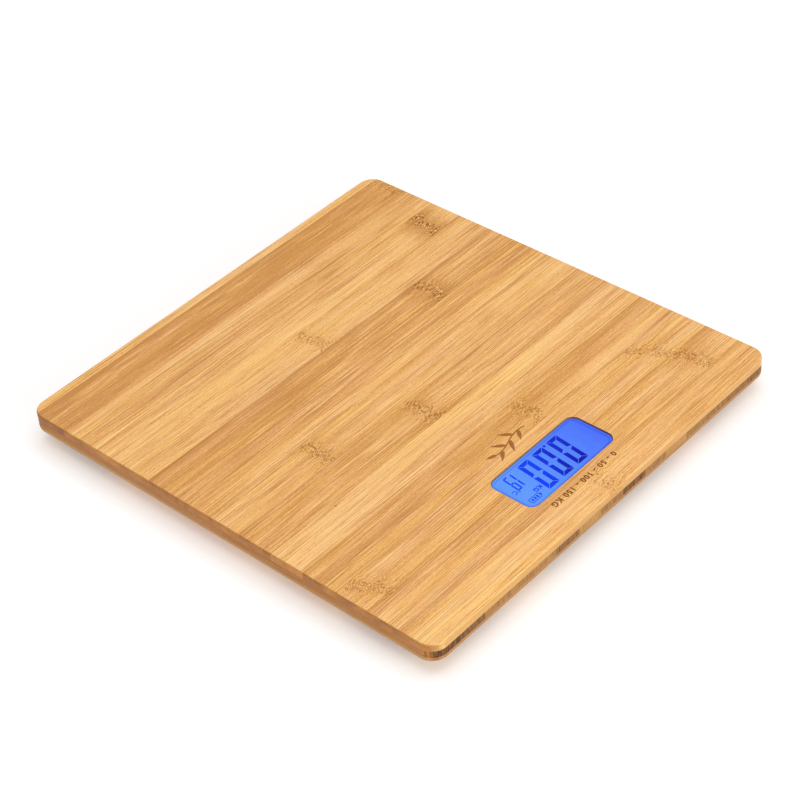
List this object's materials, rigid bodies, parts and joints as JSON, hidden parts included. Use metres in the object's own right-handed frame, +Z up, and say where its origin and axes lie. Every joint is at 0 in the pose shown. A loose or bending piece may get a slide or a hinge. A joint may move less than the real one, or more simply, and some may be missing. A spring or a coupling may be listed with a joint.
{
  "type": "digital bathroom scale",
  "caption": "Low square bamboo platform on load-cell feet with a backlit digital readout let into its top.",
  "frame": {"origin": "on the floor, under the middle of the platform", "axes": "+Z up; +Y towards the display edge; +X to the right of a person who stands on it and reads it"},
  "size_m": [0.285, 0.3, 0.022],
  "materials": {
    "bamboo_face": "satin lacquer over carbonised bamboo strips",
    "bamboo_core": "sawn bamboo edge, satin lacquer",
    "bamboo_back": "satin lacquer over bamboo strips",
    "window_acrylic": "clear polished window",
    "black_foam": "matte closed-cell foam",
    "clear_tape": "clear double-sided tape",
    "frame_plastic": "white moulding that lets light through",
    "lcd_glass": "polarised glass, clear",
    "backlight_blue": "frosted light guide, lit blue",
    "reflector_film": "white film",
    "led_package": "white package",
    "zebra_rubber": "layered silicone",
    "board_laminate": "green solder mask",
    "black_resin": "domed resin",
    "component_body": "small mixed components",
    "switch_plastic": "moulded",
    "button_plastic": "moulded, satin",
    "screw_steel": "zinc plated",
    "cover_plastic": "moulded, fine spark texture",
    "label_paper": "silvered polyester label, blank",
    "door_plastic": "moulded, fine spark texture",
    "battery_jacket": "printed shrink sleeve, plain",
    "contact_steel": "nickel plated",
    "wire_insulation": "extruded",
    "potting_silicone": "white silicone",
    "strip_plastic": "moulded",
    "housing_plastic": "moulded, fine spark texture",
    "load_cell_steel": "blanked spring steel",
    "foot_plastic": "moulded",
    "pad_rubber": "moulded, matte"
  },
  "bodies": {
    "root": {"backlight_leds": "led_package", "backlight_pad": "black_foam", "backlight_panel": "backlight_blue", "backlight_reflector": "reflector_film", "battery_bridge_contact": "contact_steel", "battery_cell_front": "battery_jacket", "battery_cell_rear": "battery_jacket", "battery_leads": "wire_insulation", "battery_negative_contact": "contact_steel", "battery_positive_contact": "contact_steel", "battery_springs": "contact_steel", "circuit_board": "board_laminate", "circuit_board_screws": "screw_steel", "circuit_components": "component_body", "controller_chip": "black_resin", "display_frame": "frame_plastic", "display_lens": "window_acrylic", "foot_module_screws": "screw_steel", "gauge_potting": "potting_silicone", "lcd_panel": "lcd_glass", "lens_adhesive": "clear_tape", "load_cell_front_left": "load_cell_steel", "load_cell_front_right": "load_cell_steel", "load_cell_rear_left": "load_cell_steel", "load_cell_rear_right": "load_cell_steel", "load_cell_wires_front_left": "wire_insulation", "load_cell_wires_front_right": "wire_insulation", "load_cell_wires_rear_left": "wire_insulation", "load_cell_wires_rear_right": "wire_insulation", "platform_bottom_ply": "bamboo_back", "platform_core_ply": "bamboo_core", "platform_top_ply": "bamboo_face", "rating_label": "label_paper", "rear_cover": "cover_plastic", "rear_cover_screws": "screw_steel", "sensor_cap_front_left": "housing_plastic", "sensor_cap_front_right": "housing_plastic", "sensor_cap_rear_left": "housing_plastic", "sensor_cap_rear_right": "housing_plastic", "sensor_housing_front_left": "housing_plastic", "sensor_housing_front_right": "housing_plastic", "sensor_housing_rear_left": "housing_plastic", "sensor_housing_rear_right": "housing_plastic", "temperature_sensor": "component_body", "unit_switch_body": "switch_plastic", "wire_strips_front": "strip_plastic", "wire_strips_rear": "strip_plastic", "zebra_connector": "zebra_rubber"},
    "battery_door": {"battery_door": "door_plastic"},
    "unit_button": {"unit_button": "button_plastic", "unit_switch_plunger": "switch_plastic"},
    "foot_front_left": {"foot_front_left": "foot_plastic", "foot_pad_front_left": "pad_rubber"},
    "foot_front_right": {"foot_front_right": "foot_plastic", "foot_pad_front_right": "pad_rubber"},
    "foot_rear_left": {"foot_rear_left": "foot_plastic", "foot_pad_rear_left": "pad_rubber"},
    "foot_rear_right": {"foot_rear_right": "foot_plastic", "foot_pad_rear_right": "pad_rubber"}
  },
  "joints": [
    {"name": "foot_travel_front_left", "type": "slide", "parent": "root", "child": "foot_front_left", "axis": [0, 0, 1], "range_m": [0, 0.0003], "stiffness_N_per_m": 50000, "springref_m": -0.0001, "deforming": ["load_cell_front_left"]},
    {"name": "foot_travel_front_right", "type": "slide", "parent": "root", "child": "foot_front_right", "axis": [0, 0, 1], "range_m": [0, 0.0003], "stiffness_N_per_m": 50000, "springref_m": -0.0001, "deforming": ["load_cell_front_right"]},
    {"name": "foot_travel_rear_left", "type": "slide", "parent": "root", "child": "foot_rear_left", "axis": [0, 0, 1], "range_m": [0, 0.0003], "stiffness_N_per_m": 50000, "springref_m": -0.0001, "deforming": ["load_cell_rear_left"]},
    {"name": "foot_travel_rear_right", "type": "slide", "parent": "root", "child": "foot_rear_right", "axis": [0, 0, 1], "range_m": [0, 0.0003], "stiffness_N_per_m": 50000, "springref_m": -0.0001, "deforming": ["load_cell_rear_right"]},
    {"name": "battery_door_slide", "type": "slide", "parent": "root", "child": "battery_door", "axis": [0, -1, 0], "range_m": [0, 0.036]},
    {"name": "unit_button_press", "type": "slide", "parent": "root", "child": "unit_button", "axis": [0, 0, 1], "range_m": [0, 0.0005], "stiffness_N_per_m": 3000, "springref_m": -0.0002}
  ]
}
